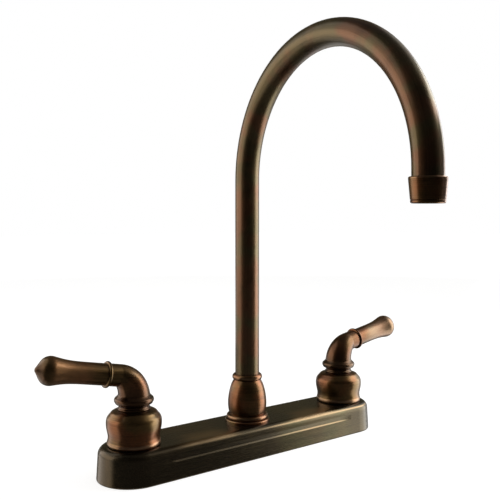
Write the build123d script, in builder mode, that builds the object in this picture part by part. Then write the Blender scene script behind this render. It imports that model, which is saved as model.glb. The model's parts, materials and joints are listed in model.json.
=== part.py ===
from build123d import *
from math import cos, radians, sin, tan
import os

# Two handle kitchen faucet on an eight inch deck plate, in millimetres.
# The origin is the centre of the deck plate's underside, where it sits on the
# sink. +Z is up, -Y is towards the user, hot is at -X and cold is at +X.
# Heights named "_rise" are measured from the top of the deck plate.

# ---------------------------------------------------------------- deck plate
inlet_spacing = 203.2        # hot to cold centres, the eight inch standard
deck_end = 26.4              # deck plate's end beyond each handle's centre
deck_width = 51.2
deck_height = 22.9
deck_draft = 3.0             # degrees that the walls lean in
deck_edge_radius = 5.6
deck_wall = 2.0
deck_top_wall = 2.2
ledge_drop = 10.3            # lower edge of the front face's ledge below the deck top
ledge_depth = 0.8
ledge_slope = 0.9            # height of its sloping shoulder
ledge_height = 3.0           # height over which the recess runs out upwards
ledge_length = 160.0
ledge_fade = 12.0            # length over which each end runs out
ledge_vanish = 0.01          # depth at those ends
plate_thickness = 2.5
plate_rim_height = 6.0
plate_rim_wall = 1.6

# ------------------------------------------------------------------ clearances
running = 0.1                # shaft in its bearing
seat_gap = 0.2               # faces that slide or sit loosely
fit_gap = 0.05               # pieces pushed or soldered together
thread_gap = 0.12            # screw thread in its nut
loose_gap = 0.5              # castings inside one another
bell_gap = 0.4               # turning handle above the deck plate
edge_break = 1.0             # chamfer of hidden turned ends
fine_break = 0.6             # chamfer of the stem's end

# --------------------------------------------------------- supply and valves
shank_radius = 10.45         # half inch pipe thread, outside
shank_bore = 6.0
shank_length = 44.0          # below the sink surface
thread_pitch = 1.814         # fourteen turns to the inch
thread_depth = 0.95
thread_crest = 0.3
mount_thread_length = 25.0   # upper thread, for the mounting nut
thread_relief = 2.0
sink_thickness = 6.0         # sheet that the nuts clamp against
washer_radius = 18.0
washer_thickness = 1.6
nut_radius = 15.0
nut_height = 10.0
nut_wing_radius = 24.0
nut_wing_width = 5.0
nut_wing_height = 8.0
nut_wings = 4
flange_radius = 16.0
flange_thickness = 2.5
barrel_radius = 13.0
neck_radius = 12.0
neck_rise = 9.0
chamber_radius = 9.6
chamber_floor = 1.5          # above the base plate's top
boss_radius = 7.0
boss_length = 18.0           # boss end from the valve's own centre line
socket_depth = 5.0
cross_radius = 4.76          # three eighths inch copper tube
cross_wall = 0.8
cross_height = 12.6          # tube centre above the sink surface

# ------------------------------------------------------------------ cartridges
seal_height = 2.0
seal_bore = 4.5
disc_thickness = 2.3
disc_gap = 0.05
disc_port_radius = 2.1
disc_port_circle_radius = 4.7
shell_wall = 1.15
shell_flange_radius = 11.5
shell_flange_thickness = 2.0
shell_hub_radius = 6.6
shell_hub_height = 2.5
window_width = 8.0
window_height = 5.0
drive_key_width = 2.4
drive_key_height = 1.0
stem_radius = 4.0
stem_flange_thickness = 2.6
stem_rise = 34.0
stem_oring_drop = 2.0        # below the valve body's top
stem_key_length = 15.0
broach_sides = 12
bonnet_flats = 27.0          # across the flats of the bonnet nut
bonnet_cap = 2.2
bonnet_hole = 7.0
stem_oring_section = 0.62    # radius of the ring's own round section
shell_oring_section = 0.58
clip_thickness = 0.8
clip_radius = 6.0
clip_opening = 3.0

# --------------------------------------------------------------------- handles
bell_wall = 1.6
bell_lip_radius = 18.7       # lower edge of the rim's bead
bell_rim_radius = 19.1
bell_rim_rise = 2.3
bell_bead_radius = 18.6      # upper edge of that bead
bell_bead_rise = 4.0
bell_waist_radius = 18.4
bell_waist_rise = 5.8
bell_flank_radius = 19.2
bell_flank_rise = 11.0
bell_belly_radius = 19.75
bell_belly_rise = 16.4
bell_brow_radius = 18.95
bell_brow_drop = 5.0         # below the flat
bell_shoulder_radius = 17.2
bell_shoulder_drop = 2.8
bell_land_radius = 12.2      # flat on top that carries the lever
bell_height = 25.0           # rise of that flat
# the lever's neck, with heights measured from the bell's flat
spigot_radius = 8.9
spigot_length = 4.6
foot_radius = 11.7
foot_edge_radius = 11.2
foot_height = 1.6
waist_radius = 10.8
waist_height = 2.3
flank_radius = 12.6
flank_height = 4.1
ring_edge_radius = 13.75
ring_edge_height = 5.5
ring_radius = 14.15
ring_height = 6.8
lip_radius = 13.5
lip_height = 8.4
column_foot_radius = 12.2
column_foot_height = 9.6
column_radius = 11.3
column_height = 11.0         # where the column starts to bend
lever_tilt = 10.3            # degrees above level
lever_turn = {"hot": 4.6, "cold": 0.9}  # degrees towards the back when closed
elbow_radius = 14.4
elbow_stations = 9
elbow_outer_power = 1.3      # how soon the outside of the bend thins to the arm
elbow_inner_power = 2.6      # how late the inside does
arm_radius = 7.85
arm_bead_radius = 9.3
arm_bead_place = 21.0        # along the lever, from the handle's axis
arm_bead_width = 2.4
grip_neck_radius = 7.65
grip_neck_share = 0.32       # of the way from the bead to the bulge
grip_swell = ((0.79, 0.36), (0.945, 0.86))  # shares of that way, and of the bulge reached there
grip_bulge_radius = 9.92
grip_bulge_place = 61.3
grip_tip_shape = ((0.29, 0.945), (0.5, 0.81), (0.72, 0.505), (0.9, 0.235))  # shares of length, of radius
lever_length = 72.0
set_screw_radius = 1.75
set_screw_length = 6.0
set_screw_socket = 1.0
set_screw_height = 3.6       # above the bell's flat

# ----------------------------------------------------------------- spout socket
post_radius = 13.0
post_neck_radius = 11.4
post_neck_rise = 15.0
post_bore = 8.6
post_chamber = 7.0
post_floor = 5.0
insert_bottom = 18.5         # above the sink surface
trim_radius = 17.6
trim_thickness = 2.0
trim_edge_radius = 0.9
hub_foot_radius = 15.6       # lower edge of the foot bead
hub_bead_radius = 16.4
hub_bead_height = 3.6
hub_flank_radius = 14.1      # where the egg starts
hub_body_radius = 15.3
hub_body_share = 0.26        # of the egg's height
hub_middle_radius = 14.95
hub_middle_share = 0.5
hub_shoulder_radius = 13.4
hub_shoulder_share = 0.78
hub_neck_radius = 10.65
hub_top_radius = 11.9
hub_crown_radius = 10.7
hub_top_rise = 36.7
hub_top_bead = 4.4           # height of the top bead
bushing_thickness = 1.8
collar_radius = 10.8
collar_thickness = 3.0
retainer_thickness = 1.5
insert_bore = 6.0
spout_oring_section = 0.9
spout_oring_count = 2
spout_oring_pitch = 6.5
spout_oring_start = 3.0      # first groove above the insert's end
hub_clearance = 0.25

# ----------------------------------------------------------------------- spout
tube_radius = 9.5
tube_wall = 1.2
spout_swing = 5.1            # degrees towards hot, as photographed
arch_radius = 96.5
arch_rise = 189.7            # where the arch springs
outlet_drop = 5.0            # outlet collar's top below that height
outlet_height = 15.4
outlet_top_radius = 11.3
outlet_bottom_radius = 10.05
outlet_groove_height = 1.9   # of a fine line turned into the collar
outlet_groove = 0.3
outlet_edge = 0.5            # bevel of the collar's edges
outlet_band = 1.2            # straight band under that edge
outlet_shelf = 1.0           # inner shelf that the tube and the washer meet
outlet_overlap = 5.0         # tube end inside the outlet collar
aerator_radius = 8.6
aerator_height = 7.0
aerator_recess = 0.8
aerator_wall = 1.2
aerator_face = 2.5           # thickness of its pierced end
aerator_washer_thickness = 1.2
screen_thickness = 0.4
aerator_hole_radius = 0.55
aerator_hole_pitch = 1.75
aerator_rings = 3

# ------------------------------------------------------------- derived heights
handle_x = inlet_spacing / 2
deck_length = inlet_spacing + 2 * deck_end
deck_ceiling = deck_height - deck_top_wall
valve_floor = plate_thickness + chamber_floor
neck_top = deck_height + neck_rise
seal_top = valve_floor + seal_height
rotor_bottom = seal_top + disc_thickness + disc_gap
rotor_top = rotor_bottom + disc_thickness
stem_bottom = rotor_top + disc_gap
shell_radius = chamber_radius - running
shell_bore = shell_radius - shell_wall
disc_radius = shell_bore - running
shell_ceiling = stem_bottom + stem_flange_thickness + seat_gap
shell_top = neck_top + shell_flange_thickness + shell_hub_height
window_bottom = rotor_bottom + disc_thickness / 2
clip_bottom = shell_top + seat_gap
shell_oring_height = deck_ceiling
stem_oring_height = neck_top - stem_oring_drop
wall_tilt = tan(radians(deck_draft))
tilt = radians(lever_tilt)
elbow_rise = bell_height + column_height
axis_rise = elbow_rise - elbow_radius * ((1 - sin(tilt)) * tan(tilt) - cos(tilt))
arm_start = elbow_radius * (1 - sin(tilt)) / cos(tilt)
bead_start = arm_bead_place - arm_bead_width / 2
bead_end = arm_bead_place + arm_bead_width / 2
grip_span = grip_bulge_place - arm_bead_place
tip_span = lever_length - grip_bulge_place
tip_points = [
    (grip_bulge_place + tip_span * along, grip_bulge_radius * width) for along, width in grip_tip_shape
]
swell_points = [
    (arm_bead_place + grip_span * along, grip_neck_radius + fill * (grip_bulge_radius - grip_neck_radius))
    for along, fill in grip_swell
]
narrowing = column_radius - arm_radius
spigot_bottom = deck_height + bell_height - spigot_length
broach_low = spigot_bottom - loose_gap
stem_top = deck_height + stem_rise


def save(piece, node):
    """Label a finished piece and write it as its own file."""
    piece.part.label = node
    export_step(piece.part, f"parts/{node}.step")


def disc(x, low, high, outer, inner=0.0, mode=Mode.ADD):
    """A round disc, or a ring, between two heights on the vertical line at x."""
    with BuildSketch(Plane((x, 0, low))) as outline:
        Circle(outer)
        if inner:
            Circle(inner, mode=Mode.SUBTRACT)
    extrude(outline.sketch, amount=high - low, mode=mode)


def turned(plane, points, mode=Mode.ADD):
    """Revolve a closed outline of (radius, height) points about the plane's own vertical."""
    with BuildSketch(plane) as outline:
        with BuildLine():
            Polyline(*points, close=True)
        make_face()
    revolve(outline.sketch, axis=Axis(plane.origin, (0, 0, 1)), mode=mode)


def torus_ring(x, height, middle_radius, section_radius):
    """A rubber ring of round section."""
    with BuildSketch(Plane((x, 0, height), x_dir=(1, 0, 0), z_dir=(0, -1, 0))) as outline:
        with Locations((middle_radius, 0)):
            Circle(section_radius)
    revolve(outline.sketch, axis=Axis((x, 0, 0), (0, 0, 1)))


def thread_points(radius, low, high):
    """Outline of a screw thread's ridges up one side, from low to high."""
    ridge = (thread_pitch - thread_crest) / 2
    count = int((high - low) / thread_pitch)
    points = [(radius, low)]
    for turn in range(count):
        start = low + turn * thread_pitch
        points.append((radius, start + thread_crest))
        points.append((radius - thread_depth, start + thread_crest + ridge))
        points.append((radius, start + thread_pitch))
    points.append((radius, high))
    return points


def front_wall(height):
    """Y of the deck plate's front face at a height."""
    return -(deck_width / 2 - height * wall_tilt)


os.makedirs("parts", exist_ok=True)

# =================================================================== deck plate
with BuildPart() as deck_cover:
    with BuildSketch():
        SlotOverall(deck_length, deck_width)
    extrude(amount=deck_height, taper=deck_draft)
    fillet(deck_cover.faces().sort_by(Axis.Z)[-1].edges(), deck_edge_radius)
    with BuildSketch():
        SlotOverall(deck_length - 2 * deck_wall, deck_width - 2 * deck_wall)
    extrude(amount=deck_ceiling, taper=deck_draft, mode=Mode.SUBTRACT)
    ceiling = deck_cover.faces().filter_by(Plane.XY).sort_by(Axis.Z)[-2]
    fillet(ceiling.edges(), deck_edge_radius - deck_wall)
    with BuildSketch(Plane.XY.offset(deck_ceiling)):
        with Locations((-handle_x, 0), (handle_x, 0)):
            Circle(neck_radius + loose_gap)
        Circle(post_neck_radius + loose_gap)
    extrude(amount=deck_top_wall, mode=Mode.SUBTRACT)
    # the shallow ledge along the front face, running out at both ends
    ledge_bottom = deck_height - ledge_drop
    ledge_shoulder = ledge_bottom + ledge_slope
    ledge_top = ledge_shoulder + ledge_height
    for station, depth in (
        (-ledge_length / 2 - ledge_fade, ledge_vanish),
        (-ledge_length / 2, ledge_depth),
        (ledge_length / 2, ledge_depth),
        (ledge_length / 2 + ledge_fade, ledge_vanish),
    ):
        with BuildSketch(Plane.YZ.offset(station)):
            with BuildLine():
                Polyline(
                    (front_wall(ledge_bottom), ledge_bottom),
                    (front_wall(ledge_shoulder) + depth, ledge_shoulder),
                    (front_wall(ledge_top), ledge_top),
                    (front_wall(ledge_top) - deck_wall, ledge_top),
                    (front_wall(ledge_bottom) - deck_wall, ledge_bottom),
                    close=True,
                )
            make_face()
    loft(ruled=True, mode=Mode.SUBTRACT)
save(deck_cover, "deck_cover")

plate_length = deck_length - 2 * (deck_wall + loose_gap)
plate_width = deck_width - 2 * (deck_wall + loose_gap)
with BuildPart() as base_plate:
    with BuildSketch():
        SlotOverall(plate_length, plate_width)
        with Locations((-handle_x, 0), (handle_x, 0)):
            Circle(shank_radius + loose_gap, mode=Mode.SUBTRACT)
    extrude(amount=plate_thickness)
    with BuildSketch(Plane.XY.offset(plate_thickness)):
        SlotOverall(plate_length, plate_width)
        SlotOverall(plate_length - 2 * plate_rim_wall, plate_width - 2 * plate_rim_wall, mode=Mode.SUBTRACT)
    extrude(amount=plate_rim_height - plate_thickness)
save(base_plate, "base_plate")

# ======================================================== valves, hot then cold
hose_thread_top = -mount_thread_length - thread_relief
for side, name in ((-1, "hot"), (1, "cold")):
    x = side * handle_x
    upright = Plane((x, 0, 0), x_dir=(1, 0, 0), z_dir=(0, -1, 0))
    inward = Plane((x, 0, cross_height), x_dir=(0, 1, 0), z_dir=(-side, 0, 0))

    with BuildPart() as valve_body:
        turned(
            upright,
            [(0, -shank_length), (shank_radius - edge_break, -shank_length)]
            + [(shank_radius, edge_break - shank_length)]
            + [(shank_radius, hose_thread_top), (shank_radius - thread_depth, hose_thread_top)]
            + [(shank_radius - thread_depth, -mount_thread_length)]
            + thread_points(shank_radius, -mount_thread_length, plate_thickness)
            + [(flange_radius, plate_thickness), (flange_radius, plate_thickness + flange_thickness)]
            + [(barrel_radius, plate_thickness + flange_thickness), (barrel_radius, deck_ceiling)]
            + [(neck_radius, deck_ceiling), (neck_radius, neck_top - edge_break)]
            + [(neck_radius - edge_break, neck_top)]
            + [(0, neck_top)],
        )
        with BuildSketch(inward):
            Circle(boss_radius)
        extrude(amount=boss_length)
        with BuildSketch(inward):
            Circle(cross_radius - cross_wall)
        extrude(amount=boss_length, mode=Mode.SUBTRACT)
        with BuildSketch(inward.offset(boss_length)):
            Circle(cross_radius + fit_gap)
        extrude(amount=-socket_depth, mode=Mode.SUBTRACT)
        disc(x, -shank_length, valve_floor, shank_bore, mode=Mode.SUBTRACT)
        disc(x, valve_floor, neck_top, chamber_radius, mode=Mode.SUBTRACT)
    save(valve_body, f"{name}_valve_body")

    with BuildPart() as cross_tube:
        with BuildSketch(inward.offset(boss_length - socket_depth)):
            Circle(cross_radius)
            Circle(cross_radius - cross_wall, mode=Mode.SUBTRACT)
        extrude(amount=handle_x - 2 * (boss_length - socket_depth))
    save(cross_tube, f"{name}_cross_tube")

    # ------------------------------------------------------------- cartridge
    with BuildPart() as seat_seal:
        disc(x, valve_floor, seal_top, disc_radius, seal_bore)
    save(seat_seal, f"{name}_seat_seal")

    with BuildPart() as fixed_disc:
        disc(x, seal_top, seal_top + disc_thickness, disc_radius)
        with BuildSketch(Plane((x, 0, seal_top))):
            with PolarLocations(disc_port_circle_radius, 2):
                Circle(disc_port_radius)
        extrude(amount=disc_thickness, mode=Mode.SUBTRACT)
    save(fixed_disc, f"{name}_fixed_disc")

    with BuildPart() as rotor_disc:
        disc(x, rotor_bottom, rotor_top, disc_radius)
        with BuildSketch(Plane((x, 0, rotor_bottom))):
            with PolarLocations(disc_port_circle_radius, 2, start_angle=90):
                Circle(disc_port_radius)
        extrude(amount=disc_thickness, mode=Mode.SUBTRACT)
        with BuildSketch(Plane((x, 0, rotor_top))):
            Rectangle(2 * disc_radius, drive_key_width)
        extrude(amount=-drive_key_height, mode=Mode.SUBTRACT)
    save(rotor_disc, f"{name}_rotor_disc")

    with BuildPart() as cartridge_shell:
        turned(
            upright,
            [(shell_bore, valve_floor + seat_gap), (shell_radius, valve_floor + seat_gap)]
            + [(shell_radius, neck_top), (shell_flange_radius, neck_top)]
            + [(shell_flange_radius, neck_top + shell_flange_thickness)]
            + [(shell_hub_radius, neck_top + shell_flange_thickness), (shell_hub_radius, shell_top)]
            + [(stem_radius + running, shell_top), (stem_radius + running, shell_ceiling)]
            + [(shell_bore, shell_ceiling)],
        )
        with BuildSketch(Plane.YZ.offset(x - chamber_radius)):
            with Locations((0, window_bottom + window_height / 2)):
                Rectangle(window_width, window_height)
        extrude(amount=2 * chamber_radius, mode=Mode.SUBTRACT)
        oring_groove = shell_radius - 2 * shell_oring_section + running
        disc(
            x,
            shell_oring_height - shell_oring_section - running,
            shell_oring_height + shell_oring_section + running,
            chamber_radius,
            oring_groove - running,
            mode=Mode.SUBTRACT,
        )
    save(cartridge_shell, f"{name}_cartridge_shell")

    with BuildPart() as cartridge_oring:
        torus_ring(x, shell_oring_height, shell_radius - shell_oring_section + fit_gap, shell_oring_section)
    save(cartridge_oring, f"{name}_cartridge_oring")

    with BuildPart() as bonnet_nut:
        with BuildSketch(Plane((x, 0, deck_height))):
            RegularPolygon(bonnet_flats / 2, 6, major_radius=False)
        extrude(amount=neck_rise + shell_flange_thickness + bonnet_cap)
        disc(
            x,
            deck_height,
            neck_top + shell_flange_thickness,
            neck_radius + thread_gap,
            mode=Mode.SUBTRACT,
        )
        disc(x, neck_top, neck_top + shell_flange_thickness + bonnet_cap, bonnet_hole, mode=Mode.SUBTRACT)
    save(bonnet_nut, f"{name}_bonnet_nut")

    # ------------------------------------------------- stem, turned by the handle
    turn = radians(lever_turn[name])
    out_x = side * cos(turn)
    out_y = sin(turn)
    with BuildPart() as stem:
        groove_low = stem_oring_height - stem_oring_section - running
        groove_high = stem_oring_height + stem_oring_section + running
        groove_radius = stem_radius - 2 * stem_oring_section
        clip_groove = stem_radius - clip_thickness
        turned(
            upright,
            [(0, stem_bottom), (disc_radius, stem_bottom)]
            + [(disc_radius, stem_bottom + stem_flange_thickness)]
            + [(stem_radius, stem_bottom + stem_flange_thickness), (stem_radius, groove_low)]
            + [(groove_radius, groove_low), (groove_radius, groove_high), (stem_radius, groove_high)]
            + [(stem_radius, clip_bottom - fit_gap), (clip_groove, clip_bottom - fit_gap)]
            + [(clip_groove, clip_bottom + clip_thickness + fit_gap)]
            + [(stem_radius, clip_bottom + clip_thickness + fit_gap), (stem_radius, broach_low)]
            + [(0, broach_low)],
        )
        with BuildSketch(Plane((x, 0, broach_low), x_dir=(out_x, out_y, 0))):
            RegularPolygon(stem_radius, broach_sides)
        extrude(amount=stem_top - broach_low)
        chamfer(stem.faces().sort_by(Axis.Z)[-1].edges(), fine_break)
        with BuildSketch(Plane((x, 0, stem_bottom))):
            Rectangle(stem_key_length, drive_key_width - 2 * running)
        extrude(amount=running - drive_key_height)
    save(stem, f"{name}_stem")

    with BuildPart() as stem_oring:
        torus_ring(x, stem_oring_height, stem_radius - stem_oring_section + fit_gap, stem_oring_section)
    save(stem_oring, f"{name}_stem_oring")

    with BuildPart() as stem_clip:
        disc(x, clip_bottom, clip_bottom + clip_thickness, clip_radius, clip_groove + fit_gap)
        with BuildSketch(Plane((x, 0, clip_bottom))):
            with Locations((0, clip_radius / 2)):
                Rectangle(clip_opening, clip_radius + edge_break)
        extrude(amount=clip_thickness, mode=Mode.SUBTRACT)
    save(stem_clip, f"{name}_stem_clip")

    # ----------------------------------------------------------- bell and lever
    outward = Plane((x, 0, deck_height), x_dir=(out_x, out_y, 0), z_dir=(out_y, -out_x, 0))
    handle_axis = Axis((x, 0, 0), (0, 0, 1))

    with BuildPart() as handle_bell:
        with BuildSketch(outward):
            with BuildLine():
                rim = ThreePointArc(
                    (bell_lip_radius, bell_gap),
                    (bell_rim_radius, bell_rim_rise),
                    (bell_bead_radius, bell_bead_rise),
                )
                skirt = Spline(
                    rim @ 1,
                    (bell_waist_radius, bell_waist_rise),
                    (bell_flank_radius, bell_flank_rise),
                    (bell_belly_radius, bell_belly_rise),
                    (bell_brow_radius, bell_height - bell_brow_drop),
                    (bell_shoulder_radius, bell_height - bell_shoulder_drop),
                    (bell_land_radius, bell_height),
                    tangents=((-0.1, 1), (-1, 0.25)),
                )
                Polyline(skirt @ 1, (0, bell_height), (0, bell_gap), rim @ 0)
            make_face()
        revolve(axis=handle_axis)
        with BuildSketch(outward):
            with BuildLine():
                inner_skirt = Spline(
                    (bell_waist_radius - bell_wall, bell_gap),
                    (bell_waist_radius - bell_wall, bell_waist_rise),
                    (bell_belly_radius - bell_wall, bell_belly_rise),
                    (bell_shoulder_radius - bell_wall, bell_height - bell_shoulder_drop - bell_wall),
                    (spigot_radius + bell_wall, bell_height - bell_wall),
                    tangents=((0, 1), (-1, 0.2)),
                )
                Polyline(inner_skirt @ 1, (0, bell_height - bell_wall), (0, bell_gap), inner_skirt @ 0)
            make_face()
        revolve(axis=handle_axis, mode=Mode.SUBTRACT)
        disc(x, deck_height, deck_height + bell_height, spigot_radius + fit_gap, mode=Mode.SUBTRACT)
    save(handle_bell, f"{name}_handle_bell")

    with BuildPart() as lever:
        # spigot, foot, waist, ring and column, turned about the handle's axis
        with BuildSketch(outward):
            with BuildLine():
                Polyline(
                    (0, bell_height + column_height),
                    (0, bell_height - spigot_length),
                    (spigot_radius, bell_height - spigot_length),
                    (spigot_radius, bell_height),
                    (foot_edge_radius, bell_height),
                )
                foot = ThreePointArc(
                    (foot_edge_radius, bell_height),
                    (foot_radius, bell_height + foot_height / 2),
                    (foot_edge_radius, bell_height + foot_height),
                )
                waist = Spline(
                    foot @ 1,
                    (waist_radius, bell_height + waist_height),
                    (flank_radius, bell_height + flank_height),
                    (ring_edge_radius, bell_height + ring_edge_height),
                    tangents=((-0.7, 1), (0.5, 1)),
                )
                ring = ThreePointArc(
                    waist @ 1,
                    (ring_radius, bell_height + ring_height),
                    (lip_radius, bell_height + lip_height),
                )
                column = Spline(
                    ring @ 1,
                    (column_foot_radius, bell_height + column_foot_height),
                    (column_radius, bell_height + column_height),
                    tangents=((-1, 0.5), (0, 1)),
                )
                Line(column @ 1, (0, bell_height + column_height))
            make_face()
        revolve(axis=handle_axis)
        # the elbow, round sections square to a bend
        for station in range(elbow_stations + 1):
            share = station / elbow_stations
            bend = share * (radians(90) - tilt)
            outside = elbow_radius + arm_radius + narrowing * (1 - share) ** elbow_outer_power
            inside = elbow_radius - column_radius + narrowing * share**elbow_inner_power
            middle = (outside + inside) / 2
            place = (elbow_radius - middle * cos(bend), elbow_rise + middle * sin(bend), 0)
            centre = outward.from_local_coords(place)
            section = Plane(
                centre, x_dir=(out_y, -out_x, 0), z_dir=(out_x * sin(bend), out_y * sin(bend), cos(bend))
            )
            with BuildSketch(section):
                Circle((outside - inside) / 2)
        loft()
        # arm, bead and grip, turned about the lever's own line
        lever_line = Plane(
            (x, 0, deck_height + axis_rise),
            x_dir=(out_x * cos(tilt), out_y * cos(tilt), sin(tilt)),
            z_dir=(out_y, -out_x, 0),
        )
        with BuildSketch(lever_line):
            with BuildLine():
                Polyline(
                    (lever_length, 0),
                    (arm_start, 0),
                    (arm_start, arm_radius),
                    (bead_start, arm_radius),
                )
                ThreePointArc(
                    (bead_start, arm_radius),
                    (arm_bead_place, arm_bead_radius),
                    (bead_end, grip_neck_radius),
                )
                Spline(
                    (bead_end, grip_neck_radius),
                    (arm_bead_place + grip_span * grip_neck_share, grip_neck_radius),
                    *swell_points,
                    (grip_bulge_place, grip_bulge_radius),
                    *tip_points,
                    (lever_length, 0),
                    tangents=((1, 0), (0, -1)),
                )
            make_face()
        revolve(axis=Axis(lever_line.origin, lever_line.x_dir))
        with BuildSketch(Plane((x, 0, spigot_bottom), x_dir=(out_x, out_y, 0))):
            RegularPolygon(stem_radius + running, broach_sides)
        extrude(amount=stem_top + loose_gap - spigot_bottom, mode=Mode.SUBTRACT)
        screw_plane = Plane(
            (x, 0, deck_height + bell_height + set_screw_height),
            x_dir=(out_x, out_y, 0),
            z_dir=(-side * out_y, side * out_x, 0),
        )
        with BuildSketch(screw_plane):
            Circle(set_screw_radius)
        extrude(amount=ring_radius, mode=Mode.SUBTRACT)
    save(lever, f"{name}_lever")

    with BuildPart() as set_screw:
        with BuildSketch(screw_plane.offset(stem_radius + seat_gap)):
            Circle(set_screw_radius - fit_gap)
        extrude(amount=set_screw_length)
        with BuildSketch(screw_plane.offset(stem_radius + seat_gap + set_screw_length)):
            RegularPolygon(set_screw_socket, 6)
        extrude(amount=-set_screw_length / 2, mode=Mode.SUBTRACT)
    save(set_screw, f"{name}_set_screw")

# ============================================== nuts and washers under the sink
washer_top = -sink_thickness
nut_top = washer_top - washer_thickness
with BuildPart() as mounting_washers:
    for side in (-1, 1):
        disc(side * handle_x, nut_top, washer_top, washer_radius, shank_radius + fit_gap)
save(mounting_washers, "mounting_washers")

with BuildPart() as mounting_nuts:
    for side in (-1, 1):
        x = side * handle_x
        disc(x, nut_top - nut_height, nut_top, nut_radius)
        with BuildSketch(Plane((x, 0, nut_top - nut_height))):
            with PolarLocations(nut_wing_radius / 2, nut_wings):
                Rectangle(nut_wing_radius, nut_wing_width)
        extrude(amount=nut_wing_height)
        disc(x, nut_top - nut_height, nut_top, shank_radius + thread_gap, mode=Mode.SUBTRACT)
save(mounting_nuts, "mounting_nuts")

# ================================================================= spout socket
front_plane = Plane.XZ
post_neck_top = deck_height + post_neck_rise
bushing_top = post_neck_top + bushing_thickness
collar_bottom = bushing_top + seat_gap
collar_top = collar_bottom + collar_thickness
retainer_bottom = collar_top + seat_gap
hub_shoulder = retainer_bottom + retainer_thickness
hub_bottom = deck_height + trim_thickness
hub_cavity = post_neck_radius + thread_gap
hub_top = deck_height + hub_top_rise
hub_bead_top = hub_bottom + hub_bead_height

with BuildPart() as spout_post:
    turned(
        front_plane,
        [(0, plate_thickness), (post_radius, plate_thickness), (post_radius, deck_ceiling)]
        + [(post_neck_radius, deck_ceiling), (post_neck_radius, post_neck_top), (0, post_neck_top)],
    )
    with BuildSketch(Plane.YZ.offset(-boss_length)):
        with Locations((0, cross_height)):
            Circle(boss_radius)
    extrude(amount=2 * boss_length)
    for side in (-1, 1):
        port = Plane((0, 0, cross_height), x_dir=(0, 1, 0), z_dir=(side, 0, 0))
        with BuildSketch(port):
            Circle(cross_radius - cross_wall)
        extrude(amount=boss_length, mode=Mode.SUBTRACT)
        with BuildSketch(port.offset(boss_length)):
            Circle(cross_radius + fit_gap)
        extrude(amount=-socket_depth, mode=Mode.SUBTRACT)
    disc(0, post_floor, post_neck_top, post_chamber, mode=Mode.SUBTRACT)
    disc(0, insert_bottom - loose_gap, post_neck_top, post_bore, mode=Mode.SUBTRACT)
save(spout_post, "spout_post")

with BuildPart() as spout_trim_ring:
    disc(0, deck_height, hub_bottom, trim_radius, post_neck_radius + loose_gap)
    top_edges = spout_trim_ring.edges().group_by(Axis.Z)[-1]
    fillet(top_edges.sort_by(SortBy.RADIUS)[-1], trim_edge_radius)
save(spout_trim_ring, "spout_trim_ring")

with BuildPart() as spout_bushing:
    disc(0, post_neck_top, bushing_top, post_neck_radius - fit_gap, post_bore + running)
save(spout_bushing, "spout_bushing")

with BuildPart() as spout_retainer:
    disc(0, retainer_bottom, hub_shoulder, post_neck_radius - fit_gap, tube_radius + hub_clearance)
save(spout_retainer, "spout_retainer")

with BuildPart() as spout_hub:
    body_rise = hub_top - hub_top_bead - hub_bead_top
    with BuildSketch(front_plane):
        with BuildLine():
            bead = ThreePointArc(
                (hub_foot_radius, hub_bottom),
                (hub_bead_radius, hub_bottom + hub_bead_height / 2),
                (hub_flank_radius, hub_bead_top),
            )
            egg = Spline(
                bead @ 1,
                (hub_body_radius, hub_bead_top + body_rise * hub_body_share),
                (hub_middle_radius, hub_bead_top + body_rise * hub_middle_share),
                (hub_shoulder_radius, hub_bead_top + body_rise * hub_shoulder_share),
                (hub_neck_radius, hub_top - hub_top_bead),
                tangents=((0.35, 1), (-0.7, 1)),
            )
            collar_arc = ThreePointArc(
                egg @ 1,
                (hub_top_radius, hub_top - hub_top_bead / 2),
                (hub_crown_radius, hub_top),
            )
            Polyline(
                collar_arc @ 1,
                (tube_radius + hub_clearance, hub_top),
                (tube_radius + hub_clearance, hub_shoulder),
                (hub_cavity, hub_shoulder),
                (hub_cavity, hub_bottom),
                bead @ 0,
            )
        make_face()
    revolve()
save(spout_hub, "spout_hub")

# ======================================================================== spout
heading = radians(spout_swing)
reach_x = -sin(heading)
reach_y = -cos(heading)
spout_plane = Plane((0, 0, 0), x_dir=(reach_x, reach_y, 0), z_dir=(reach_y, -reach_x, 0))
outlet = (2 * arch_radius * reach_x, 2 * arch_radius * reach_y, 0)
outlet_plane = Plane(outlet, x_dir=(reach_x, reach_y, 0), z_dir=(reach_y, -reach_x, 0))
arch_height = deck_height + arch_rise
outlet_top = arch_height - outlet_drop
outlet_bottom = outlet_top - outlet_height
tube_end = outlet_top - outlet_overlap
tube_bore = tube_radius - tube_wall
stem_reach = post_bore - running

with BuildPart() as spout_insert:
    insert_outline = [(insert_bore, insert_bottom), (stem_reach - edge_break, insert_bottom)]
    insert_outline.append((stem_reach, insert_bottom + edge_break))
    for ring in range(spout_oring_count):
        low = insert_bottom + spout_oring_start + ring * spout_oring_pitch
        high = low + 2 * (spout_oring_section + running)
        bottom = stem_reach - 2 * spout_oring_section
        insert_outline += [(stem_reach, low), (bottom, low), (bottom, high), (stem_reach, high)]
    turned(
        spout_plane,
        insert_outline
        + [(stem_reach, collar_bottom), (collar_radius, collar_bottom), (collar_radius, collar_top)]
        + [(tube_bore - fit_gap, collar_top), (tube_bore - fit_gap, hub_top), (insert_bore, hub_top)],
    )
save(spout_insert, "spout_insert")

with BuildPart() as spout_orings:
    for ring in range(spout_oring_count):
        low = insert_bottom + spout_oring_start + ring * spout_oring_pitch
        height = low + spout_oring_section + running
        torus_ring(0, height, stem_reach - spout_oring_section + fit_gap, spout_oring_section)
save(spout_orings, "spout_orings")

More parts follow.
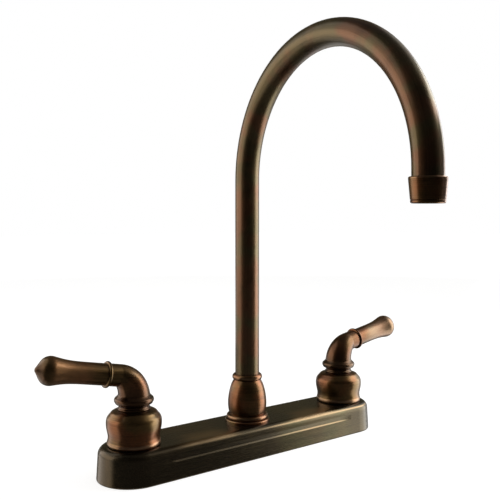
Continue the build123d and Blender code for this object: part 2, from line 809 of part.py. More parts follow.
with BuildPart() as spout_tube:
    with BuildLine(spout_plane) as centre_line:
        Line((0, collar_top), (0, arch_height))
        ThreePointArc(
            (0, arch_height),
            (arch_radius, arch_height + arch_radius),
            (2 * arch_radius, arch_height),
        )
        Line((2 * arch_radius, arch_height), (2 * arch_radius, tube_end))
    with BuildSketch(Plane((0, 0, collar_top))):
        Circle(tube_radius)
        Circle(tube_bore, mode=Mode.SUBTRACT)
    sweep()
save(spout_tube, "spout_tube")

aerator_bottom = outlet_bottom + aerator_recess
aerator_top = aerator_bottom + aerator_height
washer_seat = aerator_top + aerator_washer_thickness
shelf_radius = tube_bore - outlet_shelf
outlet_flare = (outlet_top_radius - outlet_bottom_radius) / (outlet_height - outlet_band)
with BuildPart() as outlet_collar:
    turned(
        outlet_plane,
        [(tube_radius + fit_gap, outlet_top), (outlet_top_radius - outlet_edge, outlet_top)]
        + [(outlet_top_radius, outlet_top - outlet_edge), (outlet_top_radius, outlet_top - outlet_band)]
        + [
            (outlet_bottom_radius + outlet_flare * rise - depth, outlet_bottom + rise)
            for rise, depth in (
                (outlet_groove_height + outlet_groove, 0),
                (outlet_groove_height, outlet_groove),
                (outlet_groove_height - outlet_groove, 0),
                (outlet_edge, 0),
                (0, outlet_edge),
            )
        ]
        + [(aerator_radius + fit_gap, outlet_bottom)]
        + [(aerator_radius + fit_gap, washer_seat), (shelf_radius, washer_seat)]
        + [(shelf_radius, tube_end), (tube_radius + fit_gap, tube_end)],
    )
save(outlet_collar, "outlet_collar")

with BuildPart() as aerator_washer:
    with BuildSketch(Plane(outlet).offset(aerator_top)):
        Circle(aerator_radius)
        Circle(shelf_radius, mode=Mode.SUBTRACT)
    extrude(amount=aerator_washer_thickness)
save(aerator_washer, "aerator_washer")

screen_bottom = aerator_top - screen_thickness
with BuildPart() as aerator_housing:
    turned(
        outlet_plane,
        [(0, aerator_bottom), (aerator_radius, aerator_bottom), (aerator_radius, aerator_top)]
        + [(aerator_radius - aerator_wall, aerator_top)]
        + [(aerator_radius - aerator_wall, aerator_bottom + aerator_face)]
        + [(0, aerator_bottom + aerator_face)],
    )
    with BuildSketch(Plane(outlet).offset(aerator_bottom)):
        Circle(aerator_hole_radius)
        for ring in range(1, aerator_rings + 1):
            with PolarLocations(ring * aerator_hole_pitch, 6 * ring):
                Circle(aerator_hole_radius)
    extrude(amount=aerator_face, mode=Mode.SUBTRACT)
save(aerator_housing, "aerator_housing")

with BuildPart() as aerator_screen:
    with BuildSketch(Plane(outlet).offset(screen_bottom)):
        Circle(aerator_radius - aerator_wall - fit_gap)
        for ring in range(1, aerator_rings + 1):
            with PolarLocations(ring * aerator_hole_pitch, 6 * ring):
                Circle(aerator_hole_radius, mode=Mode.SUBTRACT)
    extrude(amount=screen_thickness)
save(aerator_screen, "aerator_screen")
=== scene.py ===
import json
from math import cos, pi, radians, sin

import bpy
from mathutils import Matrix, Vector


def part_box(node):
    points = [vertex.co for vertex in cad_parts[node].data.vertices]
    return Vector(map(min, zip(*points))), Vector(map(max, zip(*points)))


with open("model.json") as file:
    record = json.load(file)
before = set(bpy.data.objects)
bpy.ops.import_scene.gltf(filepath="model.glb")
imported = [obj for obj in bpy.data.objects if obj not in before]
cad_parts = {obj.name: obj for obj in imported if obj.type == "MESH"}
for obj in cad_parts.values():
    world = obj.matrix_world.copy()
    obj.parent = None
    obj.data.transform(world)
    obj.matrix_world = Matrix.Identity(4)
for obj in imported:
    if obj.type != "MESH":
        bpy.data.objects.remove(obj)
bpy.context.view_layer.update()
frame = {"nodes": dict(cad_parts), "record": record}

# ------------------------------------------------------------------ the camera
VIEW_ANGLE = radians(37.865)      # the camera looks this far to the right of +Y
CAMERA_PLACE = Vector((-0.352283, -0.457278, 0.18483))
LEVEL = radians(90)               # the turn about X of a camera that looks along the floor
FOCAL_PIXELS = 723.885
FRAME_PIXELS = 500.0
AXIS_PIXEL = (250.40, 216.19)     # where the optical axis meets the picture
SENSOR = 36.0
NEAR_LIMIT, FAR_LIMIT = 0.02, 50.0

camera_data = bpy.data.cameras.new("camera")
camera_data.sensor_width = SENSOR
camera_data.lens = FOCAL_PIXELS * SENSOR / FRAME_PIXELS
camera_data.shift_x = (FRAME_PIXELS / 2 - AXIS_PIXEL[0]) / FRAME_PIXELS
camera_data.shift_y = (AXIS_PIXEL[1] - FRAME_PIXELS / 2) / FRAME_PIXELS
camera_data.clip_start = NEAR_LIMIT
camera_data.clip_end = FAR_LIMIT
camera = bpy.data.objects.new("camera", camera_data)
camera.location = CAMERA_PLACE
camera.rotation_euler = (LEVEL, 0, -VIEW_ANGLE)
bpy.context.scene.collection.objects.link(camera)
bpy.context.scene.camera = camera
bpy.context.scene.view_settings.view_transform = "Standard"


# -------------------------------------------------------------- shader helpers
# A mix node's sockets share their names, so they go by number: factor, both inputs, result.
MIX_SOCKETS = {"RGBA": (0, 6, 7, 2), "VECTOR": (0, 4, 5, 1)}


class Graph:
    """A material or world and its nodes."""

    def __init__(self, owner):
        owner.use_nodes = True
        self.owner = owner
        self.tree = owner.node_tree

    def join(self, value, socket):
        """Link another node's output to an input, or set the input to a constant."""
        if isinstance(value, bpy.types.NodeSocket):
            self.tree.links.new(value, socket)
        else:
            socket.default_value = value

    def add(self, kind, values=None, **settings):
        """A new node, with its inputs given by name or number."""
        node = self.tree.nodes.new("ShaderNode" + kind)
        for key, value in settings.items():
            setattr(node, key, value)
        for key, value in (values or {}).items():
            self.join(value, node.inputs[key])
        return node

    def math(self, operation, first, *others):
        """One value from one or more, such as the sum or the product of them all."""
        if not others:
            return self.add("Math", {0: first}, operation=operation).outputs[0]
        for other in others:
            first = self.add("Math", {0: first, 1: other}, operation=operation).outputs[0]
        return first

    def vector_math(self, operation, *terms):
        return self.add("VectorMath", dict(enumerate(terms)), operation=operation).outputs

    def spread(self, value, low, high, to_low=0.0, to_high=1.0):
        """Map a value smoothly from one range to another, clamped."""
        values = {
            "Value": value, "From Min": low, "From Max": high, "To Min": to_low, "To Max": to_high,
        }
        return self.add("MapRange", values, interpolation_type="SMOOTHSTEP").outputs[0]

    def mix(self, factor, first, second, kind="RGBA", blend="MIX"):
        """A mix of two colours or vectors; a constant colour is given as red, green and blue."""
        node = self.add("Mix", data_type=kind, blend_type=blend)
        *input_numbers, result_number = MIX_SOCKETS[kind]
        for number, value in zip(input_numbers, (factor, first, second)):
            self.join((*value, 1) if isinstance(value, tuple) else value, node.inputs[number])
        return node.outputs[result_number]

    def noise(self, vector, scale, detail=2.0, roughness=0.5):
        values = {"Vector": vector, "Scale": scale, "Detail": detail, "Roughness": roughness}
        return self.add("TexNoise", values).outputs["Fac"]

    def stretched(self, vector, scale):
        return self.add("Mapping", {"Vector": vector, "Scale": scale}).outputs[0]

    def axes(self, vector):
        """The X, Y and Z of a vector."""
        return self.add("SeparateXYZ", {0: vector}).outputs

    def place(self):
        """Coordinates in the object's own rest frame, in metres."""
        return self.add("TexCoord").outputs["Object"]


def principled(name, metallic, **constants):
    """A new material, its graph and its main shader."""
    graph = Graph(bpy.data.materials.new(name))
    shader = graph.tree.nodes["Principled BSDF"]
    shader.inputs["Metallic"].default_value = metallic
    for key, value in constants.items():
        shader.inputs[key.replace("_", " ")].default_value = value
    return graph, shader


def surface(graph, shader, colour, roughness, relief, strength, depth):
    """Link a shader's colour and roughness, and a fine relief up to `depth` metres deep."""
    bump = graph.add("Bump", {"Strength": strength, "Distance": depth, "Height": relief})
    graph.join(colour, shader.inputs["Base Color"])
    graph.join(roughness, shader.inputs["Roughness"])
    graph.join(bump.outputs[0], shader.inputs["Normal"])
    return graph.owner


BAND_CORE = 0.3                   # share of a band's half width that is at full strength


def band_mask(graph, height, bands):
    """Sum of soft bands round given heights: (centre, half width, strength)."""
    total = 0.0
    for centre, half, strength in bands:
        away = graph.math("ABSOLUTE", graph.math("SUBTRACT", height, centre))
        total = graph.math("ADD", total, graph.spread(away, half * BAND_CORE, half, strength, 0.0))
    return total


# ----------------------------------------------------------- the bronze finish
DARK = (0.056, 0.029, 0.013)
BROWN = (0.150, 0.073, 0.029)
COPPER = (0.34, 0.21, 0.125)
RUDDY = (1.14, 0.90, 0.84)        # how the brown leans in some patches
OLIVE = (0.86, 1.04, 0.90)        # and in others

PATCH_SCALE = 55.0                # noise scales, in features per metre
LEAN_SCALE = 42.0
SPECK_SCALE = 900.0
COARSE_LINES, FINE_LINES = 1.0, 4.3    # scales of the noise along a piece's own brush lines
PATCH_SHARE, LINE_SHARE = 0.55, 0.45   # of the tone between dark and brown
PATCH_GLOSS, LINE_GLOSS = 0.10, 0.16   # how much patches and fine lines vary the roughness
BARE_AND_HIGHLIT_GLOSS = 0.14                 # a place under the copper mask, bare or painted highlight, is this much rougher
MEAN_GLOSS = (PATCH_GLOSS + LINE_GLOSS) / 2
REDDER_WEIGHT = 2.0               # of a `redder` mask, against 1 for the patches' own lean
SPECK_RELIEF = 0.35               # height of the specks, against 1 for the fine lines
SEED_SHIFT = (1.0, 0.7, 0.0)      # a seed moves a piece's noise this way
# Ranges of a noise and, where there are four numbers, what they are mapped to.
LEAN_RANGE = (0.40, 0.60)
BARE_LINES = (0.58, 0.82, 0.0, 0.5)
BROKEN_BANDS = (0.30, 0.60, 0.55, 1.0)
DECK_BREAKS = (0.28, 0.58, 0.45, 1.0)
GRIP_BREAKS = (0.28, 0.58, 0.5, 1.0)


def bronze(
    name, grain, bands=(), wear_and_highlight=None, shade=None, dark=DARK, brown=BROWN, copper=COPPER,
    roughness=0.31, seed=0.0, tone_range=(0.24, 0.55), patch=(1.0, 1.0, 1.0), redder=None,
):
    """Dark oil-rubbed bronze: brushed along `grain`, darker in patches and bare on its rims.

    `wear_and_highlight` gives a mask for copper: partly bare metal where hands have rubbed it,
    and partly painted highlights and a painted reflection. `shade` gives a mask for painted shade,
    which darkens it, and `redder` one for places where the brown is redder. `tone_range` says
    where the noise turns from dark to brown, and `patch` stretches the patches."""
    graph, shader = principled(name, 1.0, Coat_Weight=0.25, Coat_Roughness=0.2, Coat_IOR=1.5)
    place = graph.place()
    shifted = graph.vector_math("ADD", place, tuple(seed * share for share in SEED_SHIFT))[0]
    lines = grain(graph, shifted)
    coarse_lines = graph.noise(lines, COARSE_LINES, detail=3.0, roughness=0.6)
    fine_lines = graph.noise(lines, FINE_LINES, detail=2.0, roughness=0.65)
    patches = graph.noise(graph.stretched(shifted, patch), PATCH_SCALE, detail=3.0, roughness=0.55)
    specks = graph.noise(shifted, SPECK_SCALE, detail=2.0, roughness=0.6)

    tone = graph.math(
        "ADD",
        graph.math("MULTIPLY", patches, PATCH_SHARE),
        graph.math("MULTIPLY", coarse_lines, LINE_SHARE),
    )
    colour = graph.mix(graph.spread(tone, *tone_range), dark, brown)
    lean = graph.spread(graph.noise(shifted, LEAN_SCALE), *LEAN_RANGE)
    if redder:
        weighted = graph.math("MULTIPLY", redder(graph, place), REDDER_WEIGHT)
        lean = graph.math("MULTIPLY", graph.math("ADD", lean, weighted), 1 / (1 + REDDER_WEIGHT))
    colour = graph.mix(1.0, colour, graph.mix(lean, OLIVE, RUDDY), blend="MULTIPLY")
    colour = graph.mix(graph.spread(fine_lines, *BARE_LINES), colour, copper)
    if bands:
        whole = band_mask(graph, graph.axes(place)[2], bands)
        broken = graph.math("MULTIPLY", whole, graph.spread(patches, *BROKEN_BANDS))
        colour = graph.mix(graph.math("MINIMUM", broken, 1.0), colour, copper)
    # painted shade: the mask darkens the colour towards the dark tone
    if shade:
        colour = graph.mix(shade(graph, place, patches), colour, dark)
    gloss = graph.math(
        "ADD",
        graph.math("MULTIPLY", fine_lines, LINE_GLOSS),
        graph.math("MULTIPLY", patches, PATCH_GLOSS),
    )
    # copper where the metal is bare, and where highlights and a reflection are painted
    if wear_and_highlight:
        bare_and_highlit = wear_and_highlight(graph, place, patches)
        colour = graph.mix(bare_and_highlit, colour, copper)
        gloss = graph.math("ADD", gloss, graph.math("MULTIPLY", bare_and_highlit, BARE_AND_HIGHLIT_GLOSS))
    gloss = graph.math("ADD", gloss, roughness - MEAN_GLOSS)
    relief = graph.math("ADD", fine_lines, graph.math("MULTIPLY", specks, SPECK_RELIEF))
    return surface(graph, shader, colour, gloss, relief, strength=0.35, depth=0.00004)


# --------------------------------------------------------- sizes of the pieces
SIDES = (("hot", -1), ("cold", 1))
deck_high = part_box("deck_cover")[1]
bell_low, bell_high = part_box("hot_handle_bell")
hub_low, hub_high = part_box("spout_hub")
tube_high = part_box("spout_tube")[1]
collar_low, collar_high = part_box("outlet_collar")
trim_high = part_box("spout_trim_ring")[1]

HANDLE_X = (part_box("cold_handle_bell")[0].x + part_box("cold_handle_bell")[1].x) / 2
LEDGE_HEIGHT = 0.01305
TUBE_RADIUS = 0.0095
OUTLET = (collar_low + collar_high) / 2
ARCH_RADIUS = Vector((OUTLET.x, OUTLET.y)).length / 2
ARCH_SPRING = tube_high.z - TUBE_RADIUS - ARCH_RADIUS
SPOUT_SWING = radians(5.1)
LEVER_TILT = radians(10.3)
LEVER_TURN = {"hot": radians(4.6), "cold": radians(0.9)}
GRIP_RISE = 0.023                 # from the bell's top to the middle of the arm, on the axis

# --------------------------------------------------------------- brushed grains
ROUND_LINES = (22.0, 22.0, 1500.0)     # scales per metre along X, Y and Z of each grain
DECK_LINES = (9.0, 900.0, 900.0)
TUBE_LINES = (900.0, 900.0, 14.0)
GRIP_LINES = (16.0, 1100.0, 1100.0)
NECK_TO_GRIP = (0.008, 0.013)          # where the lever's grain turns, outwards from the axis


def round_grain(graph, place):
    """Brush lines that run round an upright piece."""
    return graph.stretched(place, ROUND_LINES)


def long_grain(graph, place):
    """Brush lines along the deck plate's length."""
    return graph.stretched(place, DECK_LINES)


def tube_grain(graph, place):
    """Brush lines along the spout, which follow its arch."""
    turned = graph.add(
        "VectorRotate", {"Vector": place, "Angle": SPOUT_SWING}, rotation_type="Z_AXIS"
    ).outputs[0]
    side, back, height = graph.axes(turned)
    rise = graph.math("SUBTRACT", height, ARCH_SPRING)
    above = graph.math("MAXIMUM", rise, 0.0)
    across = graph.math("ADD", back, ARCH_RADIUS)
    angle = graph.math("ARCTAN2", above, across)
    out = graph.math("SQRT", graph.math(
        "ADD", graph.math("MULTIPLY", above, above), graph.math("MULTIPLY", across, across)
    ))
    below = graph.math("MINIMUM", rise, 0.0)
    along = graph.math("ADD", graph.math("MULTIPLY", angle, ARCH_RADIUS), below)
    local = graph.add("CombineXYZ", {0: out, 1: side, 2: along}).outputs[0]
    return graph.stretched(local, TUBE_LINES)


def lever_grain(origin, outward, tilt):
    """Brush lines along the grip, and round the neck nearer the handle's axis."""

    def grain(graph, place):
        moved = graph.vector_math("SUBTRACT", place, origin)[0]
        along_dir = (outward[0] * cos(tilt), outward[1] * cos(tilt), sin(tilt))
        up_dir = (-outward[0] * sin(tilt), -outward[1] * sin(tilt), cos(tilt))
        side_dir = (-outward[1], outward[0], 0.0)
        parts = [
            graph.vector_math("DOT_PRODUCT", moved, axis)["Value"]
            for axis in (along_dir, side_dir, up_dir)
        ]
        grip = graph.add("CombineXYZ", dict(enumerate(parts))).outputs[0]
        grip = graph.stretched(grip, GRIP_LINES)
        neck = graph.stretched(moved, ROUND_LINES)
        return graph.mix(graph.spread(parts[0], *NECK_TO_GRIP), neck, grip, kind="VECTOR")

    return grain


# ----------------------------------------------------- painted shade, painted highlights and bare edges on the deck
# Each pair says where a mask starts and where it ends, in metres along the axis that it names
# or outwards from the nearest raised part.
# Painted shade round the bases of the raised parts, where they shade the plate and darkly reflect
# in it.
SHADE_ROUND_BASES = (0.027, 0.047)
SHADE_WAVES, GLOW_WAVES = 0.012, 0.014   # how far patches move the edges of the painted shade and the painted glow
FRONT_TURN_Y = (-0.0205, -0.0225)      # the deck's top turns into its front here
# Painted shade along the front face, stronger on the hot half, and on the hot end's face.
SHADE_FRONT_X = (-0.03, 0.03)
SHADE_FRONT_STRENGTH = (0.9, 0.5)        # on the hot half and on the cold half
SHADE_END_X = (-0.108, -0.122)
SHADE_END_STRENGTH = 0.8
# A painted reflection: a warm glow on the plate's top near its front, away from the raised parts.
GLOW_STRENGTH = 0.9
GLOW_FROM_BASES = (0.036, 0.052)
GLOW_Y = (0.002, -0.017)
GLOW_Z = (deck_high.z - 0.003, deck_high.z - 0.0004)
# Copper along the top front edge: partly bare metal, partly a painted highlight that grows towards
# the cold half.
RIM_BAND = (deck_high.z - 0.0018, 0.0007, 0.6)
RIM_X = (-0.02, 0.04)
# A painted highlight along the front ledge, on the cold half only.
LEDGE_BAND = (LEDGE_HEIGHT, 0.0006, 0.45)
LEDGE_FRONT_Y = (-0.020, -0.023)
LEDGE_START_X = (0.0, 0.04)
LEDGE_END_X = (0.070, 0.092)
REDDER_X = (-0.10, 0.03)


def near_bases(graph, place, patches, waves):
    """Distance, with a wavy edge, from the nearest of the deck plate's three raised parts."""
    x, y, _ = graph.axes(place)
    lengths = []
    for centre in (-HANDLE_X, 0.0, HANDLE_X):
        away = graph.add("CombineXYZ", {0: graph.math("SUBTRACT", x, centre), 1: y}).outputs[0]
        lengths.append(graph.vector_math("LENGTH", away)["Value"])
    nearest = graph.math("MINIMUM", *lengths)
    return graph.math("ADD", nearest, graph.math("MULTIPLY", patches, waves))


def deck_shade(graph, place, patches):
    """Painted shade round the raised parts' bases, along the front face (more on the hot half) and
    on the hot end's face.
    """
    wavy = near_bases(graph, place, patches, SHADE_WAVES)
    round_bases = graph.spread(wavy, *SHADE_ROUND_BASES, 1.0, 0.0)
    x, y, _ = graph.axes(place)
    halves = graph.spread(x, *SHADE_FRONT_X, *SHADE_FRONT_STRENGTH)
    front = graph.math("MULTIPLY", graph.spread(y, *FRONT_TURN_Y), halves)
    end = graph.spread(x, *SHADE_END_X, 0.0, SHADE_END_STRENGTH)
    return graph.math("MAXIMUM", round_bases, front, end)


def deck_wear_and_highlights(graph, place, patches):
    """A painted reflection as a warm glow on the top along the front between the raised parts;
    copper on the top front edge, partly bare metal and partly a painted highlight; and a painted
    highlight on the ledge.
    """
    x, y, z = graph.axes(place)
    glow = graph.math(
        "MULTIPLY",
        graph.spread(near_bases(graph, place, patches, GLOW_WAVES), *GLOW_FROM_BASES),
        graph.spread(y, *GLOW_Y, 0.0, GLOW_STRENGTH),
        graph.spread(z, *GLOW_Z),
    )
    rim = graph.math("MULTIPLY", band_mask(graph, z, [RIM_BAND]), graph.spread(x, *RIM_X))
    ledge = graph.math(
        "MULTIPLY",
        band_mask(graph, z, [LEDGE_BAND]),
        graph.spread(y, *LEDGE_FRONT_Y),
        graph.spread(x, *LEDGE_START_X),
        graph.spread(x, *LEDGE_END_X, 1.0, 0.0),
    )
    bare_and_highlit = graph.math("MAXIMUM", rim, ledge, glow)
    return graph.math("MULTIPLY", bare_and_highlit, graph.spread(patches, *DECK_BREAKS))


def deck_redder(graph, place):
    """The hot end of the plate is redder, and the cold end more olive."""
    return graph.spread(graph.axes(place)[0], *REDDER_X, 1.0, 0.0)


# --------------------------------------------------- painted shade, painted highlights and bare grips on the levers
# Pairs are metres outwards from the handle's axis; the waist's are metres up from the bell.
# The grip's copper: partly rubbed bare, partly a painted highlight streak.
GRIP_COPPER_RISE = (0.026, 0.040)
GRIP_WEAR_AND_HIGHLIGHT = 0.45
# Painted shade on the tip, the hot lever's only, where the copper fades out, and in the waist,
# which reaches up into the elbow on the cold lever.
TIP_SPARED = (0.059, 0.065)
TIP_SHADE_REACH = (0.062, 0.069)
WAIST_SHADE_STRENGTH = 0.85
WAIST_FOOT = 0.009
WAIST_TOP = {"hot": 0.023, "cold": 0.040}
TIP_SHADE_STRENGTH = {"hot": 1.0, "cold": 0.0}
# The hot lever's copper is redder and the cold lever's paler: painted light, for the warm light on
# the hot side and the pale light on the cold side.
LEVER_COPPER = {"hot": (0.34, 0.155, 0.072), "cold": (0.32, 0.215, 0.145)}


def lever_masks(axis_place, tip_shade, waist_top):
    """Copper on the grip, partly where hands have rubbed it bare and partly a painted highlight;
    painted shade in the waist and on the tip.
    """

    def reach(graph, place):
        moved = graph.vector_math("SUBTRACT", place, axis_place)[0]
        flat = graph.vector_math("MULTIPLY", moved, (1.0, 1.0, 0.0))[0]
        return graph.vector_math("LENGTH", flat)["Value"]

    def rubbed_and_highlit(graph, place, patches):
        away = reach(graph, place)
        return graph.math(
            "MULTIPLY",
            graph.spread(away, *GRIP_COPPER_RISE, 0.0, GRIP_WEAR_AND_HIGHLIGHT),
            graph.spread(away, *TIP_SPARED, 1.0, 1.0 - tip_shade),
            graph.spread(patches, *GRIP_BREAKS),
        )

    def shaded(graph, place, patches):
        height = graph.axes(place)[2]
        foot, top = bell_high.z + WAIST_FOOT, bell_high.z + waist_top
        waist = graph.spread(height, foot, top, WAIST_SHADE_STRENGTH, 0.0)
        tip = graph.spread(reach(graph, place), *TIP_SHADE_REACH, 0.0, tip_shade)
        return graph.math("MAXIMUM", waist, tip)

    return {"wear_and_highlight": rubbed_and_highlit, "shade": shaded}


# ---------------------------------------------------------- the bronze's pieces
DECK_TONES = {
    "dark": (0.044, 0.033, 0.018), "brown": (0.100, 0.072, 0.036), "copper": (0.38, 0.255, 0.135),
}
TUBE_TONES = {
    "dark": (0.062, 0.037, 0.019), "brown": (0.116, 0.071, 0.037), "copper": (0.27, 0.185, 0.115),
}
# Bare rims as (height, half width, strength); those of the neck count from the bell's top.
BELL_BANDS = [(bell_low.z + 0.0019, 0.0018, 0.65)]
NECK_BANDS = [(bell_high.z + 0.0008, 0.0009, 0.15), (bell_high.z + 0.0068, 0.0013, 0.25)]
HUB_BANDS = [(hub_low.z + 0.0018, 0.0016, 0.4), (hub_high.z - 0.0022, 0.0016, 0.35)]
TRIM_BANDS = [(trim_high.z, 0.001, 0.25)]
COLLAR_BANDS = [(collar_high.z - 0.0006, 0.001, 0.35)]


def dress(node, material):
    """Give a node of the model one material."""
    mesh = frame["nodes"][node].data
    mesh.materials.clear()
    mesh.materials.append(material)
    for polygon in mesh.polygons:
        polygon.material_index = 0


dress("deck_cover", bronze(
    "bronze_deck", long_grain, wear_and_highlight=deck_wear_and_highlights, shade=deck_shade, redder=deck_redder, seed=0.31,
    roughness=0.28, tone_range=(0.224, 0.542), patch=(0.25, 2.4, 2.4), **DECK_TONES
))
dress("spout_hub", bronze("bronze_hub", round_grain, HUB_BANDS, seed=0.11))
dress("spout_trim_ring", bronze("bronze_trim", round_grain, TRIM_BANDS, seed=0.27))
dress("spout_tube", bronze("bronze_tube", tube_grain, roughness=0.38, **TUBE_TONES))
dress("outlet_collar", bronze("bronze_collar", round_grain, COLLAR_BANDS, seed=0.52))

for side, sign in SIDES:
    bell_bronze = bronze(f"bronze_{side}_bell", round_grain, BELL_BANDS, seed=sign * 0.4)
    dress(f"{side}_handle_bell", bell_bronze)
    axis_place = (sign * HANDLE_X, 0.0, bell_high.z + GRIP_RISE)
    outward = (sign * cos(LEVER_TURN[side]), sin(LEVER_TURN[side]), 0.0)
    lever_bronze = bronze(
        f"bronze_{side}_lever", lever_grain(axis_place, outward, LEVER_TILT), NECK_BANDS,
        copper=LEVER_COPPER[side], seed=sign * 0.63,
        **lever_masks(axis_place, TIP_SHADE_STRENGTH[side], WAIST_TOP[side])
    )
    dress(f"{side}_lever", lever_bronze)

# --------------------------------------------------------- the hidden materials
STAIN_SCALE, FLOW_SCALE, MOULD_SCALE = 120.0, 70.0, 1800.0
TURNED_LINES = (60.0, 60.0, 1800.0)
DRAWN_LINES = (40.0, 1500.0, 1500.0)
STAINED, BRIGHT = 0.62, 1.15      # how stains and tool lines change a metal's colour
FLOW_SHADE = 0.75                 # and flow marks a moulding's
HIDDEN_RELIEF = 0.00003           # depth of the relief, in metres


def scaled(colour, factor):
    """A colour made lighter or darker, up to white."""
    return tuple(min(1.0, channel * factor) for channel in colour)


def worked_metal(name, colour, roughness, scale=TURNED_LINES):
    """Turned or drawn metal: fine tool lines and slight stains."""
    graph, shader = principled(name, 1.0)
    place = graph.place()
    lines = graph.noise(graph.stretched(place, scale), 1.0, detail=3.0, roughness=0.6)
    stains = graph.noise(place, STAIN_SCALE, detail=3.0, roughness=0.6)
    tone = graph.mix(graph.spread(stains, 0.35, 0.68), scaled(colour, STAINED), colour)
    tone = graph.mix(graph.spread(lines, 0.5, 0.75, 0.0, 0.5), tone, scaled(colour, BRIGHT))
    gloss = graph.spread(lines, 0.3, 0.7, roughness - 0.07, roughness + 0.1)
    return surface(graph, shader, tone, gloss, lines, strength=0.3, depth=HIDDEN_RELIEF)


def moulded(name, colour, roughness):
    """Moulded plastic, rubber or ceramic: a fine grain and faint flow marks."""
    graph, shader = principled(name, 0.0)
    place = graph.place()
    fine = graph.noise(place, MOULD_SCALE)
    flow = graph.noise(place, FLOW_SCALE, detail=3.0, roughness=0.6)
    tone = graph.mix(graph.spread(flow, 0.35, 0.65), scaled(colour, FLOW_SHADE), colour)
    gloss = graph.spread(fine, 0.3, 0.7, roughness - 0.06, roughness + 0.08)
    return surface(graph, shader, tone, gloss, fine, strength=0.25, depth=HIDDEN_RELIEF)


hidden = {
    "raw_brass": worked_metal("raw_brass", (0.62, 0.46, 0.22), 0.30),
    "copper": worked_metal("drawn_copper", (0.66, 0.34, 0.21), 0.28, DRAWN_LINES),
    "stainless_steel": worked_metal("stainless", (0.56, 0.55, 0.53), 0.30),
    "disc_ceramic": moulded("disc_ceramic", (0.82, 0.80, 0.75), 0.22),
    "rubber": moulded("rubber", (0.022, 0.022, 0.023), 0.62),
    "black_plastic": moulded("black_plastic", (0.026, 0.026, 0.028), 0.48),
    "white_plastic": moulded("white_plastic", (0.76, 0.76, 0.73), 0.38),
}
for subpart in frame["record"]["subparts"]:
    if subpart["material_slot"] in hidden:
        dress(subpart["node"], hidden[subpart["material_slot"]])

# ------------------------------------------------------------- floor and world
FLOOR_SIZE = 12.0
FLOOR_DROP = 0.0003
FLOOR_TONES = ((0.40, 0.40, 0.40), (0.42, 0.42, 0.42))
FLOOR_GLOW = 0.78                 # with the lamps' light this makes the floor white where seen
FLOOR_GRAIN = 900.0
WHITE = (1, 1, 1, 1)
WORLD_LIGHT, WORLD_SEEN = 0.5, 1.0

floor_mesh = bpy.data.meshes.new("floor")
edge = FLOOR_SIZE / 2
corners = [
    (x, y, -FLOOR_DROP) for x, y in ((-edge, -edge), (edge, -edge), (edge, edge), (-edge, edge))
]
floor_mesh.from_pydata(corners, [], [(0, 1, 2, 3)])
floor = bpy.data.objects.new("floor", floor_mesh)
bpy.context.scene.collection.objects.link(floor)


def seen(graph):
    """1 for the rays that show the background: camera, glossy and transmission rays."""
    path = graph.add("LightPath").outputs
    rays = (path["Is Camera Ray"], path["Is Glossy Ray"], path["Is Transmission Ray"])
    return graph.math("MAXIMUM", *rays)


floor_graph, floor_shader = principled("pale_floor", 0.0, Roughness=0.9, Emission_Color=WHITE)
floor_grain = floor_graph.spread(floor_graph.noise(floor_graph.place(), FLOOR_GRAIN), 0.3, 0.7)
floor_graph.join(floor_graph.mix(floor_grain, *FLOOR_TONES), floor_shader.inputs["Base Color"])
floor_glow = floor_graph.math("MULTIPLY", seen(floor_graph), FLOOR_GLOW)
floor_graph.join(floor_glow, floor_shader.inputs["Emission Strength"])
floor_mesh.materials.append(floor_graph.owner)

world = bpy.data.worlds.new("studio")
bpy.context.scene.world = world
world_graph = Graph(world)
background = world_graph.tree.nodes["Background"]
background.inputs["Color"].default_value = WHITE
world_strength = world_graph.spread(seen(world_graph), 0.0, 1.0, WORLD_LIGHT, WORLD_SEEN)
world_graph.join(world_strength, background.inputs["Strength"])
world.cycles.sampling_method = "NONE"      # a sampled world would shine through the cloths

# ------------------------------------------------- lamps and what the metal sees
AIM = Vector((0.0, -0.05, 0.12))  # the point that the lamps face and the cloths hang round
CLOTH_HEIGHT = 0.0006             # of a laid cloth, over the sink
CLOTH_COLUMNS = 25
HUNG_ROWS, LAID_ROWS = 9, 5
CLOTH_ROUGHNESS = 0.12
SHEET_TONE = (0.05, 0.05, 0.05)
SHEET_POLISH = 0.6                # how much a polished sheet reflects


def around(turn, rise, distance, centre=AIM):
    """A place round a centre: `turn` degrees to the right of the direction to the camera."""
    angle = radians(turn)
    toward = Vector((-sin(VIEW_ANGLE), -cos(VIEW_ANGLE), 0))
    right = Vector((cos(VIEW_ANGLE), -sin(VIEW_ANGLE), 0))
    flat = (toward * cos(angle) + right * sin(angle)) * cos(radians(rise))
    return centre + (flat + Vector((0, 0, sin(radians(rise))))) * distance


def lamp(name, turn, rise, distance, width, height, radiance, colour):
    """A soft box that faces the object."""
    data = bpy.data.lights.new(name, "AREA")
    data.shape = "RECTANGLE"
    data.size = width
    data.size_y = height
    data.energy = radiance * width * height * pi
    data.color = colour
    item = bpy.data.objects.new(name, data)
    item.location = around(turn, rise, distance)
    item.rotation_euler = (item.location - AIM).to_track_quat("Z", "Y").to_euler()
    item.visible_camera = False
    bpy.context.scene.collection.objects.link(item)


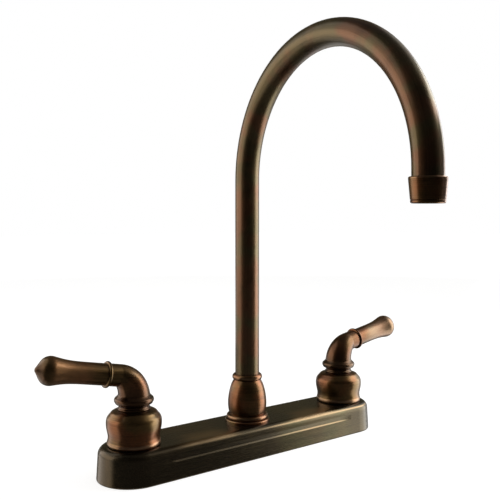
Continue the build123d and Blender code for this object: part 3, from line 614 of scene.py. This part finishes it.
def cloth(name, tone, points, polish):
    """A cloth or sheet that only reflected rays see, as studios hang round a shiny object."""
    rows = len(points) // CLOTH_COLUMNS
    faces = []
    for row in range(rows - 1):
        for column in range(CLOTH_COLUMNS - 1):
            corner = row * CLOTH_COLUMNS + column
            above = corner + CLOTH_COLUMNS
            faces.append((corner, corner + 1, above + 1, above))
    mesh = bpy.data.meshes.new(name)
    mesh.from_pydata(points, [], faces)
    item = bpy.data.objects.new(name, mesh)
    for kind in ("camera", "diffuse", "shadow", "transmission", "volume_scatter"):
        setattr(item, "visible_" + kind, False)
    graph, _ = principled(
        name, 1.0, Roughness=CLOTH_ROUGHNESS, Base_Color=(polish, polish, polish, 1),
        Emission_Color=(*tone, 1), Emission_Strength=1.0,
    )
    mesh.materials.append(graph.owner)
    bpy.context.scene.collection.objects.link(item)


def steps(first, last, count):
    """Evenly spaced numbers from the first to the last."""
    return [first + (last - first) * index / (count - 1) for index in range(count)]


def hung_cloth(name, turns, rises, distance, tone, centre=AIM):
    """A cloth hung in a curve round the object, between two turns and two heights."""
    points = [
        around(turn, rise, distance, centre)
        for rise in steps(*rises, HUNG_ROWS)
        for turn in steps(*turns, CLOTH_COLUMNS)
    ]
    cloth(name, tone, points, 0.0)


def laid_cloth(name, turns, reaches, tone, polish=0.0):
    """A cloth laid on the floor round the object, between two turns and two distances."""
    points = [
        around(turn, 0.0, reach)
        for reach in steps(*reaches, LAID_ROWS)
        for turn in steps(*turns, CLOTH_COLUMNS)
    ]
    for point in points:
        point.z = CLOTH_HEIGHT
    cloth(name, tone, points, polish)


# Turn, rise and distance of the middle, width, height, brightness and colour.
lamp("left_box", -96, 13, 0.95, 1.25, 0.56, 1.25, (1.0, 0.86, 0.71))
lamp("right_box", 107, 14, 0.72, 0.60, 0.8, 4.0, (1.0, 1.0, 0.97))
# Turns, rises, distance and tone.
hung_cloth("front_cloth", (-60, 81), (-8, 90), 1.7, (0.06, 0.06, 0.06))
hung_cloth("back_cloth", (150, 232), (-8, 90), 1.75, (0.11, 0.095, 0.06))
hung_cloth("top_cloth", (-180, 180), (60, 90), 1.65, (0.10, 0.10, 0.10))
hung_cloth("upper_cloth", (82, 152), (42, 62), 1.68, (0.7, 0.69, 0.65))
hung_cloth("outlet_cloth", (-82, 126), (-28, 32), 0.24, (0.03, 0.03, 0.03), OUTLET)
# Turns, distances and tone.
laid_cloth("back_floor_cloth", (158, 258), (0.12, 0.5), (0.12, 0.12, 0.11))
laid_cloth("polished_sheet", (-102, 158), (0.0, 1.75), SHEET_TONE, SHEET_POLISH)
laid_cloth("polished_corner", (158, 258), (0.0, 0.12), SHEET_TONE, SHEET_POLISH)
